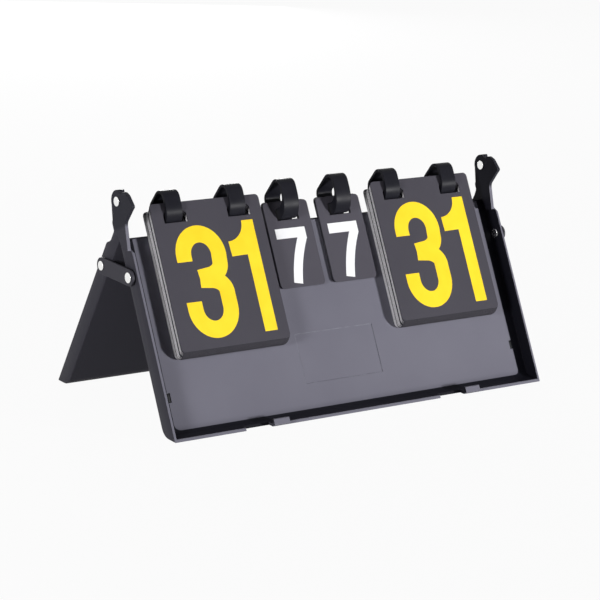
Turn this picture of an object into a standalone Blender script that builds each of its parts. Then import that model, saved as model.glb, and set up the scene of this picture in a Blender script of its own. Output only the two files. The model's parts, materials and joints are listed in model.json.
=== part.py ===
"""A folding table-top flip scoreboard: two shallow trays hinged along their top edge,
held open by a stay at each end, with four stacks of number leaves on rings in the front tray.

Origin on the floor under the middle of the open board. X runs along the hinge, the front
tray faces -Y, and Z is up. Each tray is drawn in its own slanted frame: u is the distance
from the hinge axis down the rim, and t is the depth behind the rim.
"""

import math

import bmesh
import bpy
from mathutils import Matrix, Vector

# The board as it stands open
BOARD_WIDTH = 0.385
RIM_LENGTH = 0.2026
HALF_ANGLE = math.radians(28.05)
HINGE_HEIGHT = RIM_LENGTH * math.cos(HALF_ANGLE)
HALF_WIDTH = BOARD_WIDTH / 2
GAP = 0.0003

# How far a joined piece is sunk into its neighbour, and how far a cutter stands past a wall
SINK = 0.0001
OVERCUT = 0.0010

# The moulded trays
TRAY_DEPTH = 0.0155
WALL = 0.0022
FLOOR_WALL = 0.0025
PANEL_WALL = 0.0021
PANEL_TOP = 0.0297
FOOT_RADIUS = 0.012
NECK_TOP = 0.0140
NECK_FRONT = 0.0042
RAMP_TOP = 0.0390
RAMP_BOTTOM = 0.0440
RAMP_ROUND = 0.0060
EDGE_ROUND = 0.0008

# The latch hooks along the bottom rim of the front tray, each set in from its end of the tray.
# The notches take the other tray's hooks, a little to one side, when the board is shut.
HOOK_FROM_LEFT = 0.1025
HOOK_FROM_RIGHT = 0.0800
HOOK_CENTRES = (HOOK_FROM_LEFT - HALF_WIDTH, HALF_WIDTH - HOOK_FROM_RIGHT)
HOOK_WIDTH = 0.0155
HOOK_THICK = 0.0024
HOOK_INSET = 0.0004
HOOK_REACH = 0.0043
HOOK_LIP = 0.0032
HOOK_TIP = 0.0018
HOOK_ROOT = 0.0012
LATCH_SHIFT = 0.0022
NOTCH_CENTRES = tuple(LATCH_SHIFT - centre for centre in HOOK_CENTRES)
NOTCH_WIDTH = 0.0260
NOTCH_DEPTH = 0.0047
NOTCH_RISE = 0.0066

# Small blind pockets near the ends of each panel, and the bare place for a label
POCKET_INSET = 0.0120
POCKET_X = HALF_WIDTH - POCKET_INSET
POCKET_SIZE = (0.0030, 0.0080)
POCKET_U = 0.1640
POCKET_DEPTH = 0.0013
LABEL_X = (-0.0460, 0.0350)
LABEL_U = (0.1270, 0.1700)
LABEL_RECESS = 0.0003

# The hinge ears and pins
EAR_RADIUS = 0.0095
EAR_THICK = 0.0030
EAR_NECK_START = 0.0200
EAR_NECK_STEP = 0.0270
EAR_NECK_END = 0.0430
EAR_NECK_BACK = 0.0100
EAR_NECK_INSET = 0.0004
PIN_RADIUS = 0.0020
HEAD_RADIUS = 0.0040
HEAD_THICK = 0.0010
HEAD_CROWN = 0.7 * HEAD_RADIUS

# The side stays
STUD_U = 0.0622
STUD_T = 0.00855
STUD_Y = STUD_U * math.sin(HALF_ANGLE) - STUD_T * math.cos(HALF_ANGLE)
STUD_Z = HINGE_HEIGHT - STUD_U * math.cos(HALF_ANGLE) - STUD_T * math.sin(HALF_ANGLE)
BUTTON_RADIUS = 0.0018
BUTTON_HEAD = 0.0044
BUTTON_CROWN = 0.0032
STUD_HEAD = 0.0032
STUD_CROWN = 0.0024
STAY_THICK = 0.0020
STAY_HALF_HEIGHT = 0.0070
STAY_STAND_OFF = 0.0017
STAY_HEAD_THICK = 0.0008
STUD_HEAD_THICK = 0.0010

# The rings that carry the leaves, round at the bottom and leaning back from a rounded top.
# The bottom is thickened downwards to nearly fill the leaves' slots.
# The leaves turn about the middle of the round part, and the sides are set out from there.
RING_U = 0.00824
RING_T = 0.00865
RING_THICK = 0.0022
RING_INNER = 0.0096
RING_OUTER = RING_INNER + RING_THICK
RING_SHOULDER = 0.0125
RING_LEAN = math.radians(36.9)
RING_TOP_ROUND = 0.0079
RING_SHOULDER_ROUND = 0.0060
RING_BACK_ROUND = 0.0080
SCORE_RING_BACK = 0.01464
SET_RING_BACK = 0.01680
SCORE_RING_DROP = 0.0152
SET_RING_DROP = 0.0195
RING_WIDTH = 0.0154
RING_SHIFT = -0.0012
RING_STEM_BOTTOM = 0.0460
RING_STEM_CLEAR = 0.0002
RING_FOOT_TOP = 0.0350
RING_FOOT_DROP = 0.0050
RING_FOOT_WIDTH = 0.0240
RING_FOOT_THICK = 0.0016

# The number leaves
LEAF_THICK = 0.0005
LEAF_PITCH = LEAF_THICK + GAP
SCORE_LEAVES = 16
SCORE_SIZE = (0.1080, 0.1256)
SCORE_SLOT_X = 0.0313
SCORE_STRIP = 0.0080
SCORE_SLOT_HEIGHT = 0.0092
SET_LEAVES = 4
SET_SIZE = (0.0460, 0.0760)
SET_STRIP = 0.0055
SET_SLOT_HEIGHT = 0.0112
SLOT_WIDTH = 0.0225
SLOT_CHAMFER = 0.0022
LEAF_CORNER = 0.0035

# The width that the four stacks leave free is shared out between the ends and the gaps
SPARE_WIDTH = BOARD_WIDTH - 2 * SCORE_SIZE[0] - 2 * SET_SIZE[0]
END_SHARE = 0.3312
MIDDLE_SHARE = 0.0584
SCORE_CENTRE = HALF_WIDTH - END_SHARE * SPARE_WIDTH - SCORE_SIZE[0] / 2
SET_CENTRE = MIDDLE_SHARE * SPARE_WIDTH + SET_SIZE[0] / 2

# Places that follow from the sizes above
WALL_INSIDE = HALF_WIDTH - WALL
PANEL_FACE = TRAY_DEPTH - PANEL_WALL
EAR_OUTSIDE = HALF_WIDTH - SINK
EAR_INSIDE = EAR_OUTSIDE - EAR_THICK
STAY_INSIDE = HALF_WIDTH + STAY_STAND_OFF
STAY_OUTSIDE = STAY_INSIDE + STAY_THICK
HEAD_FACE = STAY_OUTSIDE + GAP + STAY_HEAD_THICK
FLOOR_SLOPE = math.tan(HALF_ANGLE)
HINGE = Vector((0, 0, HINGE_HEIGHT))


def clear_scene():
    """Removes whatever the scene starts with."""
    for item in list(bpy.data.objects):
        bpy.data.objects.remove(item, do_unlink=True)


def new_collection(name):
    """Makes a collection in the scene."""
    collection = bpy.data.collections.new(name)
    bpy.context.scene.collection.children.link(collection)
    return collection


def make_material(name, colour, roughness, metallic=0.0):
    """Makes a plain Principled material."""
    material = bpy.data.materials.new(name)
    material.use_nodes = True
    shader = material.node_tree.nodes["Principled BSDF"]
    shader.inputs["Base Color"].default_value = (*colour, 1)
    shader.inputs["Roughness"].default_value = roughness
    shader.inputs["Metallic"].default_value = metallic
    return material


def tray_frame(side):
    """Turns (x, u, t) of the front (-1) or rear (+1) tray into world coordinates."""
    sine = math.sin(HALF_ANGLE)
    cosine = math.cos(HALF_ANGLE)
    frame = Matrix.Identity(4)
    frame.col[1] = (0, side * sine, -cosine, 0)
    frame.col[2] = (0, -side * cosine, -sine, 0)
    frame.translation = HINGE
    return frame


def side_plane(side):
    """Lays an outline drawn in (u, t) upright in a tray, so that its thickness runs along X."""
    turned = Matrix(((0, 0, 1, 0), (1, 0, 0, 0), (0, 1, 0, 0), (0, 0, 0, 1)))
    return tray_frame(side) @ turned


def end_plane():
    """Lays an outline drawn in world (y, z) upright, so that its thickness runs along X."""
    return Matrix(((0, 0, 1, 0), (1, 0, 0, 0), (0, 1, 0, 0), (0, 0, 0, 1)))


def rounded(corners, steps=4):
    """Gives an outline whose corners (a, b, radius) are arcs where the radius isn't 0."""
    outline = []
    for index, (a, b, radius) in enumerate(corners):
        corner = Vector((a, b))
        if not radius:
            outline.append(tuple(corner))
            continue
        before = (Vector(corners[index - 1][:2]) - corner).normalized()
        after = (Vector(corners[(index + 1) % len(corners)][:2]) - corner).normalized()
        half = before.angle(after) / 2
        start = corner + before * radius / math.tan(half)
        end = corner + after * radius / math.tan(half)
        centre = corner + (before + after).normalized() * radius / math.sin(half)
        sweep = (start - centre).angle_signed(end - centre)
        for step in range(steps + 1):
            turn = Matrix.Rotation(-sweep * step / steps, 2)
            outline.append(tuple(centre + turn @ (start - centre)))
    return outline


def arc(centre, radius, first, last, steps):
    """Gives points on a circle between two angles in degrees."""
    angles = [math.radians(first + (last - first) * step / steps) for step in range(steps + 1)]
    return [(centre[0] + radius * math.cos(a), centre[1] + radius * math.sin(a)) for a in angles]


def slab(name, loops, plane, depths, collection):
    """Makes a flat plate from an outline and its holes, between two depths across its plane."""
    curve = bpy.data.curves.new(name, "CURVE")
    curve.dimensions = "2D"
    curve.fill_mode = "BOTH"
    curve.extrude = (depths[1] - depths[0]) / 2
    for loop in loops:
        spline = curve.splines.new("POLY")
        spline.points.add(len(loop) - 1)
        for point, (a, b) in zip(spline.points, loop):
            point.co = (a, b, 0, 1)
        spline.use_cyclic_u = True
    guide = bpy.data.objects.new(name + "_outline", curve)
    collection.objects.link(guide)
    guide.matrix_world = plane @ Matrix.Translation((0, 0, (depths[0] + depths[1]) / 2))
    bpy.context.view_layer.update()
    graph = bpy.context.evaluated_depsgraph_get()
    mesh = bpy.data.meshes.new_from_object(guide.evaluated_get(graph))
    mesh.transform(guide.matrix_world)
    bpy.data.objects.remove(guide)
    weld(mesh)
    piece = bpy.data.objects.new(name, mesh)
    collection.objects.link(piece)
    return piece


def weld(mesh):
    """Joins the caps of a filled outline to its sides and turns every face outwards."""
    shape = bmesh.new()
    shape.from_mesh(mesh)
    bmesh.ops.remove_doubles(shape, verts=shape.verts, dist=1e-6)
    bmesh.ops.recalc_face_normals(shape, faces=shape.faces)
    shape.to_mesh(mesh)
    shape.free()


def round_ends(piece, distance):
    """Rounds the outline edges of a slab's two end faces, after joining each end into one face."""
    shape = bmesh.new()
    shape.from_mesh(piece.data)
    ends = [face for face in shape.faces if abs(face.normal.x) > 0.5]
    bmesh.ops.dissolve_faces(shape, faces=ends)
    ends = [face for face in shape.faces if abs(face.normal.x) > 0.5]
    edges = {edge for face in ends for edge in face.edges}
    bmesh.ops.bevel(shape, geom=list(edges), offset=distance, segments=2, profile=0.5, affect="EDGES")
    bmesh.ops.recalc_face_normals(shape, faces=shape.faces)
    shape.to_mesh(piece.data)
    shape.free()


def block(name, plane, x_range, u_range, t_range, collection):
    """Makes a box between ranges of x, u and t in a tray's frame."""
    bpy.ops.mesh.primitive_cube_add(size=1)
    piece = bpy.context.object
    piece.name = name
    piece.data.name = name
    ranges = (x_range, u_range, t_range)
    middle = Vector([(low + high) / 2 for low, high in ranges])
    size = Matrix.Diagonal([high - low for low, high in ranges] + [1])
    piece.data.transform(plane @ Matrix.Translation(middle) @ size)
    weld(piece.data)
    for owner in list(piece.users_collection):
        owner.objects.unlink(piece)
    collection.objects.link(piece)
    return piece


def rod(name, x_range, y, z, radius, collection):
    """Makes a plain round bar along X, for a hole."""
    length = x_range[1] - x_range[0]
    bpy.ops.mesh.primitive_cylinder_add(vertices=24, radius=radius, depth=length)
    piece = bpy.context.object
    piece.name = name
    piece.data.name = name
    place = Matrix.Translation(((x_range[0] + x_range[1]) / 2, y, z))
    piece.data.transform(place @ Matrix.Rotation(math.pi / 2, 4, "Y"))
    for owner in list(piece.users_collection):
        owner.objects.unlink(piece)
    collection.objects.link(piece)
    return piece


def combine(target, tool, operation, cutters):
    """Adds a Boolean and puts its tool away with the cutters. The thin shells need this solver."""
    modifier = target.modifiers.new(tool.name, "BOOLEAN")
    modifier.operation = operation
    modifier.solver = "MANIFOLD"
    modifier.object = tool
    tool.hide_render = True
    tool.display_type = "WIRE"
    for owner in list(tool.users_collection):
        owner.objects.unlink(tool)
    cutters.objects.link(tool)


def turned_stud(name, steps_out, side, y, z, material, parts):
    """Turns a stud about X. steps_out gives (distance from the middle plane, radius) inwards."""
    profile = bpy.data.meshes.new(name)
    points = [(0, 0, steps_out[0][0])]
    points += [(radius, 0, reach) for reach, radius in steps_out]
    points += [(0, 0, steps_out[-1][0])]
    edges = [(index, index + 1) for index in range(len(points) - 1)]
    profile.from_pydata(points, edges, [])
    piece = bpy.data.objects.new(name, profile)
    parts.objects.link(piece)
    profile.transform(Matrix.Translation((0, 0, -HALF_WIDTH)))
    piece.location = (side * HALF_WIDTH, y, z)
    piece.rotation_euler = (0, side * math.pi / 2, 0)
    screw = piece.modifiers.new("turn", "SCREW")
    screw.axis = "Z"
    screw.steps = 24
    screw.render_steps = 24
    screw.use_merge_vertices = True
    screw.merge_threshold = 0.00005
    screw.use_smooth_shade = True
    profile.materials.append(material)
    return piece


def set_pivot(piece, pivot):
    """Moves a piece's origin to its joint's axis without moving the piece."""
    piece.data.transform(Matrix.Translation(-pivot))
    piece.location = pivot


def tray_profile():
    """Gives the end view of a tray as a solid block: rim, floor contact, back and neck."""
    corner_u = RIM_LENGTH - FLOOR_SLOPE * TRAY_DEPTH
    neck_back = FLOOR_SLOPE * NECK_TOP - GAP
    return rounded(
        [
            (NECK_TOP, NECK_FRONT, 0),
            (RAMP_TOP, NECK_FRONT, RAMP_ROUND),
            (RAMP_BOTTOM, 0, RAMP_ROUND),
            (RIM_LENGTH, 0, 0),
            (corner_u, TRAY_DEPTH, FOOT_RADIUS),
            (PANEL_TOP, TRAY_DEPTH, 0),
            (NECK_TOP, neck_back, 0),
        ],
        steps=5,
    )


def cavity_profile():
    """Gives the end view of the space inside a tray, open at the front and above the panel."""
    floor_inside = RIM_LENGTH - FLOOR_WALL
    above = -EAR_RADIUS - OVERCUT
    ahead = -HOOK_REACH - OVERCUT
    behind = TRAY_DEPTH + OVERCUT
    return rounded(
        [
            (above, ahead, 0),
            (floor_inside - FLOOR_SLOPE * ahead, ahead, 0),
            (floor_inside - FLOOR_SLOPE * PANEL_FACE, PANEL_FACE, FOOT_RADIUS - WALL),
            (PANEL_TOP, PANEL_FACE, 0),
            (PANEL_TOP, behind, 0),
            (above, behind, 0),
        ],
        steps=5,
    )


def hook_profile():
    """Gives the end view of a latch hook that stands forward of the bottom rim."""
    outside = RIM_LENGTH - HOOK_INSET
    inside = outside - HOOK_THICK
    return [
        (outside - HOOK_THICK / 4, HOOK_ROOT),
        (outside, -2 * SINK),
        (outside, -HOOK_REACH),
        (inside - HOOK_LIP * 0.75, -HOOK_REACH),
        (inside - HOOK_LIP, -HOOK_REACH + HOOK_TIP * 0.55),
        (inside, -HOOK_REACH + HOOK_TIP),
        (inside, HOOK_ROOT),
    ]


def from_hinge(points):
    """Places (y, z, corner radius) given in ear radii from the hinge axis."""
    return [(y * EAR_RADIUS, HINGE_HEIGHT + z * EAR_RADIUS, r * EAR_RADIUS) for y, z, r in points]


def front_ear_profile():
    """Gives the front ear in world (y, z): a round head, a nose reaching forward and a neck."""
    head = arc((0, HINGE_HEIGHT), EAR_RADIUS, -25, 80, 10)
    brow = [(-0.75, 1.13, 0.50), (-1.60, 0.86, 0.90)]
    nose = [(-2.50, 0.04, 0.20), (-2.15, -0.42, 0.30)]
    neck = [(-1.34, -1.60, 0.60), (-1.81, -3.26, 0), (-2.00, -3.93, 0)]
    inner = [(-1.16, -4.08, 0), (-0.32, -3.03, 0), (0.35, -2.75, 0), (0.75, -1.95, 0.40)]
    return head + rounded(from_hinge(brow + nose + neck + inner))


def rear_ear_profile():
    """Gives the rear ear in world (y, z): round at the back, with a cheek that turns clear of the wall."""
    head = arc((0, HINGE_HEIGHT), EAR_RADIUS, -22, 90, 10)
    cheek = [(-1.05, 1.00, 0.60), (-1.42, 0.25, 0.40), (-1.40, -0.35, 0.30), (-0.95, -1.08, 0.30)]
    inner = [(-0.40, -1.36, 0), (0.05, -1.36, 0), (0.05, -3.03, 0), (0.13, -3.24, 0)]
    outer = [(1.11, -3.24, 0), (0.93, -2.65, 0)]
    return head + rounded(from_hinge(cheek + inner + outer))


def make_tray(name, side, material, parts, cutters):
    """Makes the shell that both trays share, with its hooks, notches, pockets and holes."""
    plane = side_plane(side)
    frame = tray_frame(side)
    tray = slab(name, [tray_profile()], plane, (-HALF_WIDTH, HALF_WIDTH), parts)
    round_ends(tray, EDGE_ROUND)
    tray.data.materials.append(material)
    cavity = slab(name + "_cavity", [cavity_profile()], plane, (-WALL_INSIDE, WALL_INSIDE), cutters)
    combine(tray, cavity, "DIFFERENCE", cutters)
    for index, centre in enumerate(HOOK_CENTRES):
        reach = sorted(-side * centre + offset for offset in (-HOOK_WIDTH / 2, HOOK_WIDTH / 2))
        hook = slab(f"{name}_hook_{index}", [hook_profile()], plane, reach, cutters)
        combine(tray, hook, "UNION", cutters)
    for index, centre in enumerate(NOTCH_CENTRES):
        reach = sorted(-side * centre + offset for offset in (-NOTCH_WIDTH / 2, NOTCH_WIDTH / 2))
        u_range = (RIM_LENGTH - NOTCH_RISE, RIM_LENGTH + OVERCUT)
        notch = block(f"{name}_notch_{index}", frame, reach, u_range, (-OVERCUT, NOTCH_DEPTH), cutters)
        combine(tray, notch, "DIFFERENCE", cutters)
    for end in (-1, 1):
        width, height = POCKET_SIZE
        x_range = (end * POCKET_X - width / 2, end * POCKET_X + width / 2)
        u_range = (POCKET_U - height / 2, POCKET_U + height / 2)
        t_range = (PANEL_FACE - OVERCUT, PANEL_FACE + POCKET_DEPTH)
        pocket = block(f"{name}_pocket_{end}", frame, x_range, u_range, t_range, cutters)
        combine(tray, pocket, "DIFFERENCE", cutters)
        ends = sorted((end * (WALL_INSIDE - OVERCUT), end * (HALF_WIDTH + OVERCUT)))
        hole = rod(f"{name}_stud_hole_{end}", ends, side * STUD_Y, STUD_Z, PIN_RADIUS + GAP, cutters)
        combine(tray, hole, "DIFFERENCE", cutters)
    return tray


def drill_hinge(tray, cutters):
    """Bores both ears for the hinge pins."""
    for end in (-1, 1):
        ends = sorted((end * (EAR_INSIDE - 2 * EAR_THICK), end * (HALF_WIDTH + 2 * EAR_THICK)))
        hole = rod(f"{tray.name}_hinge_hole_{end}", ends, 0, HINGE_HEIGHT, PIN_RADIUS + GAP, cutters)
        combine(tray, hole, "DIFFERENCE", cutters)


def add_front_ears(tray, cutters):
    """Adds the front ears: outside the rear ear on the left, and inside it on the right."""
    outer = (-(HALF_WIDTH + GAP + EAR_THICK), -(HALF_WIDTH + GAP))
    inner = (EAR_INSIDE - GAP - EAR_THICK, EAR_INSIDE - GAP)
    for label, reach in (("left", outer), ("right", inner)):
        ear = slab(f"front_ear_{label}", [front_ear_profile()], end_plane(), reach, cutters)
        combine(tray, ear, "UNION", cutters)
    left_neck = [
        (outer[0] + SINK, EAR_NECK_START),
        (outer[0] + SINK, EAR_NECK_STEP),
        (-HALF_WIDTH + EAR_NECK_INSET, EAR_NECK_END),
        (-WALL_INSIDE - 2 * SINK, EAR_NECK_END),
        (-WALL_INSIDE - 2 * SINK, EAR_NECK_START),
    ]
    right_neck = [
        (inner[0] + SINK, EAR_NECK_START),
        (inner[0] + SINK, EAR_NECK_STEP),
        (WALL_INSIDE + EAR_NECK_INSET, EAR_NECK_END),
        (HALF_WIDTH - WALL / 2, EAR_NECK_END),
        (HALF_WIDTH - WALL / 2, EAR_NECK_START),
    ]
    for label, outline in (("left", left_neck), ("right", right_neck)):
        depths = (NECK_FRONT + SINK, EAR_NECK_BACK)
        neck = slab(f"front_neck_{label}", [outline], tray_frame(-1), depths, cutters)
        combine(tray, neck, "UNION", cutters)


def add_rear_ears(tray, cutters):
    """Adds the rear ears in the plane of the end walls."""
    for label, end in (("left", -1), ("right", 1)):
        reach = sorted((end * EAR_INSIDE, end * EAR_OUTSIDE))
        ear = slab(f"rear_ear_{label}", [rear_ear_profile()], end_plane(), reach, cutters)
        combine(tray, ear, "UNION", cutters)


def ring_places():
    """Names each ring and gives the x of its middle."""
    places = {}
    for label, end in (("left", -1), ("right", 1)):
        for where, offset in (("outer", end), ("inner", -end)):
            x = end * SCORE_CENTRE + offset * SCORE_SLOT_X + RING_SHIFT
            places[f"score_ring_{label}_{where}"] = x
        places[f"set_ring_{label}"] = end * SET_CENTRE + RING_SHIFT
    return places


def notch_for_rings(tray, cutters):
    """Cuts the top edge of the front panel so that each ring's stem drops in."""
    frame = tray_frame(-1)
    half = RING_WIDTH / 2 + GAP
    for name, x in ring_places().items():
        u_range = (PANEL_TOP - OVERCUT, RING_STEM_BOTTOM + GAP)
        t_range = (PANEL_FACE - OVERCUT, TRAY_DEPTH + OVERCUT)
        notch = block(f"{name}_notch", frame, (x - half, x + half), u_range, t_range, cutters)
        combine(tray, notch, "DIFFERENCE", cutters)


def recess_label(tray, cutters):
    """Sinks the bare label place into the front panel."""
    t_range = (PANEL_FACE - OVERCUT, PANEL_FACE + LABEL_RECESS)
    recess = block("label_recess", tray_frame(-1), LABEL_X, LABEL_U, t_range, cutters)
    combine(tray, recess, "DIFFERENCE", cutters)


def ring_side_corner(first, second):
    """Gives the point where two sides meet. A side is (direction it faces, distance from the middle)."""
    turn = math.sin(second[0] - first[0])
    y = (first[1] * math.sin(second[0]) - second[1] * math.sin(first[0])) / turn
    z = (second[1] * math.cos(first[0]) - first[1] * math.cos(second[0])) / turn
    return y, z


def ring_corners(back, inset):
    """Gives a ring's corners in (u, t) with their radii: front bottom, top, shoulder and back."""
    front_side = (math.pi - HALF_ANGLE, RING_OUTER - inset)
    shoulder_side = (RING_LEAN, RING_SHOULDER - inset)
    back_side = (0, back - inset)
    bottom_side = (-math.pi / 2, RING_OUTER - inset)
    sides = [bottom_side, front_side, shoulder_side, back_side, bottom_side]
    radii = (RING_OUTER, RING_TOP_ROUND, RING_SHOULDER_ROUND, RING_BACK_ROUND)
    sine = math.sin(HALF_ANGLE)
    cosine = math.cos(HALF_ANGLE)
    corners = []
    for first, second, radius in zip(sides, sides[1:], radii):
        y, z = ring_side_corner(first, second)
        u = RING_U - y * sine - z * cosine
        t = RING_T + y * cosine - z * sine
        corners.append((u, t, radius - inset))
    return corners


def ring_profile(back, drop):
    """Gives the end view of a ring: its band, which runs on into a straight stem with a foot."""
    stem_front = PANEL_FACE + RING_STEM_CLEAR
    foot_back = TRAY_DEPTH + GAP + RING_FOOT_THICK
    stem_turn = math.degrees(math.asin((stem_front - RING_T) / RING_OUTER))
    circle = arc((0, 0), 1, stem_turn, -90, 12)
    round_part = [(RING_U + drop * u, RING_T + RING_OUTER * t) for u, t in circle]
    corners = ring_corners(back, 0)
    corners[0] = (*corners[0][:2], 0)
    rest = rounded(corners, steps=8)[1:]
    bottom = RING_U + (RING_OUTER - (TRAY_DEPTH - RING_T) * math.sin(HALF_ANGLE)) / math.cos(HALF_ANGLE)
    stem = [
        (bottom, TRAY_DEPTH),
        (RING_FOOT_TOP, TRAY_DEPTH),
        (RING_FOOT_TOP, foot_back),
        (RING_STEM_BOTTOM, foot_back),
        (RING_STEM_BOTTOM, stem_front),
    ]
    return round_part + rest + stem


def make_rings(material, parts, cutters):
    """Makes the six rings, each with a foot behind the panel."""
    foot_depths = (TRAY_DEPTH + GAP, TRAY_DEPTH + GAP + RING_FOOT_THICK - SINK)
    for name, x in ring_places().items():
        is_score = name.startswith("score")
        back = SCORE_RING_BACK if is_score else SET_RING_BACK
        drop = SCORE_RING_DROP if is_score else SET_RING_DROP
        reach = (x - RING_WIDTH / 2, x + RING_WIDTH / 2)
        bore = rounded(ring_corners(back, RING_THICK), steps=12)
        ring = slab(name, [ring_profile(back, drop), bore], side_plane(-1), reach, parts)
        half = RING_FOOT_WIDTH / 2
        u_range = (RING_FOOT_TOP + SINK, RING_STEM_BOTTOM + RING_FOOT_DROP)
        foot = block(f"{name}_foot", tray_frame(-1), (x - half, x + half), u_range, foot_depths, cutters)
        combine(ring, foot, "UNION", cutters)
        ring.data.materials.append(material)


def leaf_loops(centre, size, strip, slot_height, slot_centres, top):
    """Gives a leaf's outline in (x, u) with its slots, hanging from u = top."""
    half = size[0] / 2
    bottom = top + size[1]
    outline = rounded(
        [
            (centre - half, top, LEAF_CORNER),
            (centre + half, top, LEAF_CORNER),
            (centre + half, bottom, LEAF_CORNER),
            (centre - half, bottom, LEAF_CORNER),
        ],
        steps=3,
    )
    loops = [outline]
    upper = top + strip
    lower = upper + slot_height
    for x in slot_centres:
        left = x - SLOT_WIDTH / 2
        right = x + SLOT_WIDTH / 2
        loops.append(
            [
                (left, upper + SLOT_CHAMFER),
                (left + SLOT_CHAMFER, upper),
                (right - SLOT_CHAMFER, upper),
                (right, upper + SLOT_CHAMFER),
                (right, lower),
                (left, lower),
            ]
        )
    return loops


def make_stack(label, count, centre, size, strip, slot_height, slot_centres, material, parts):
    """Makes one stack, front leaf first. Each leaf hangs by its slot from the inside of the band."""
    frame = tray_frame(-1)
    pivot = frame @ Vector((centre, RING_U, RING_T))
    last_back = PANEL_FACE - GAP
    for index in range(count):
        back = last_back - (count - 1 - index) * LEAF_PITCH
        front = back - LEAF_THICK
        across = max(abs(RING_T - front), abs(RING_T - back))
        slot_top = RING_U + math.sqrt(RING_INNER**2 - across**2) - GAP
        top = slot_top - strip
        loops = leaf_loops(centre, size, strip, slot_height, slot_centres, top)
        leaf = slab(f"{label}_{index + 1:02d}", loops, frame, (front, back), parts)
        leaf.data.materials.append(material)
        set_pivot(leaf, pivot)


def make_leaves(score_material, set_material, parts):
    """Makes the two score stacks and the two set stacks."""
    for label, end in (("left", -1), ("right", 1)):
        centre = end * SCORE_CENTRE
        slots = (centre - SCORE_SLOT_X, centre + SCORE_SLOT_X)
        make_stack(
            f"score_leaf_{label}", SCORE_LEAVES, centre, SCORE_SIZE, SCORE_STRIP,
            SCORE_SLOT_HEIGHT, slots, score_material, parts,
        )
        centre = end * SET_CENTRE
        make_stack(
            f"set_leaf_{label}", SET_LEAVES, centre, SET_SIZE, SET_STRIP,
            SET_SLOT_HEIGHT, (centre,), set_material, parts,
        )


def make_hinge_pins(material, parts):
    """Makes the two rivets that the ears turn on."""
    left_outer = HALF_WIDTH + 2 * GAP + EAR_THICK
    left = [
        (HEAD_FACE, HEAD_CROWN),
        (HEAD_FACE - HEAD_THICK / 2, HEAD_RADIUS),
        (left_outer, HEAD_RADIUS),
        (left_outer, PIN_RADIUS),
        (EAR_INSIDE - GAP, PIN_RADIUS),
        (EAR_INSIDE - GAP, HEAD_RADIUS),
        (EAR_INSIDE - GAP - HEAD_THICK, HEAD_RADIUS),
    ]
    right_inner = EAR_INSIDE - 2 * GAP - EAR_THICK
    right = [
        (HALF_WIDTH + GAP + HEAD_THICK, HEAD_CROWN),
        (HALF_WIDTH + GAP + HEAD_THICK / 2, HEAD_RADIUS),
        (HALF_WIDTH + GAP, HEAD_RADIUS),
        (HALF_WIDTH + GAP, PIN_RADIUS),
        (right_inner, PIN_RADIUS),
        (right_inner, HEAD_RADIUS),
        (right_inner - HEAD_THICK, HEAD_RADIUS),
    ]
    turned_stud("hinge_pin_left", left, -1, 0, HINGE_HEIGHT, material, parts)
    turned_stud("hinge_pin_right", right, 1, 0, HINGE_HEIGHT, material, parts)


def stay_profile():
    """Gives a stay in world (y, z): a flat bar with round ends about its two studs."""
    rear = arc((STUD_Y, STUD_Z), STAY_HALF_HEIGHT, -90, 90, 12)
    front = arc((-STUD_Y, STUD_Z), STAY_HALF_HEIGHT, 90, 270, 12)
    return rear + front


def make_stays(bar_material, metal, parts):
    """Makes each end's stay, its rear rivet, its snap button and the stud that takes the button."""
    rivet_hole = arc((STUD_Y, STUD_Z), PIN_RADIUS + GAP, 0, 345, 23)
    button_hole = arc((-STUD_Y, STUD_Z), BUTTON_RADIUS + GAP, 0, 345, 23)
    wall_back = WALL_INSIDE - GAP
    rivet = [
        (HEAD_FACE, HEAD_CROWN),
        (HEAD_FACE - STAY_HEAD_THICK / 2, HEAD_RADIUS),
        (STAY_OUTSIDE + GAP, HEAD_RADIUS),
        (STAY_OUTSIDE + GAP, PIN_RADIUS),
        (wall_back, PIN_RADIUS),
        (wall_back, HEAD_RADIUS),
        (wall_back - STUD_HEAD_THICK, HEAD_RADIUS),
    ]
    button = [
        (HEAD_FACE, BUTTON_CROWN),
        (HEAD_FACE - STAY_HEAD_THICK / 2, BUTTON_HEAD),
        (STAY_OUTSIDE + GAP, BUTTON_HEAD),
        (STAY_OUTSIDE + GAP, BUTTON_RADIUS),
        (STAY_INSIDE, BUTTON_RADIUS),
    ]
    stud_face = HALF_WIDTH + GAP + STUD_HEAD_THICK
    stud = [
        (stud_face, STUD_CROWN),
        (stud_face - STUD_HEAD_THICK / 2, STUD_HEAD),
        (HALF_WIDTH + GAP, STUD_HEAD),
        (HALF_WIDTH + GAP, PIN_RADIUS),
        (wall_back, PIN_RADIUS),
        (wall_back, HEAD_RADIUS),
        (wall_back - STUD_HEAD_THICK, HEAD_RADIUS),
    ]
    for label, end in (("left", -1), ("right", 1)):
        reach = sorted((end * STAY_INSIDE, end * STAY_OUTSIDE))
        loops = [stay_profile(), rivet_hole, button_hole]
        stay = slab(f"stay_{label}", loops, end_plane(), reach, parts)
        stay.data.materials.append(bar_material)
        set_pivot(stay, Vector((end * STAY_INSIDE, STUD_Y, STUD_Z)))
        turned_stud(f"stay_rivet_{label}", rivet, end, STUD_Y, STUD_Z, metal, parts)
        turned_stud(f"stay_button_{label}", button, end, -STUD_Y, STUD_Z, metal, parts)
        turned_stud(f"stay_stud_{label}", stud, end, -STUD_Y, STUD_Z, metal, parts)


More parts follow.
